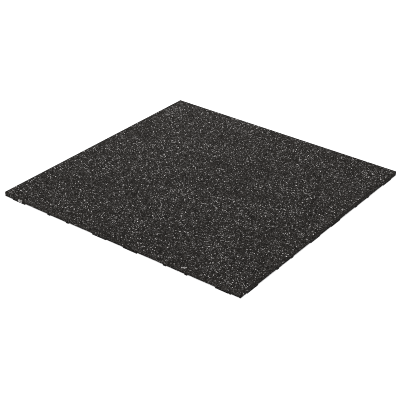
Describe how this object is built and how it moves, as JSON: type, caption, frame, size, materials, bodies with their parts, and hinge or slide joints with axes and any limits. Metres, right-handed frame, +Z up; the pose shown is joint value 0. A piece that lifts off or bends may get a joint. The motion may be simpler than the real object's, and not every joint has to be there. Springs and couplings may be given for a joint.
{
  "type": "rubber gym floor tile",
  "caption": "Square gym floor tile pressed from bound black rubber crumb with grey flecks; flat walking face and butt sides, ring feet and drainage recesses underneath.",
  "frame": {"origin": "middle of the square that the feet stand on, at the floor", "axes": "+Z up out of the walking face, +X and +Y along the two pairs of sides"},
  "size_m": [1, 1, 0.02],
  "materials": {
    "flecked_rubber": "matt, flecked with light grey crumb"
  },
  "bodies": {
    "root": {"rubber_tile": "flecked_rubber"}
  },
  "joints": []
}
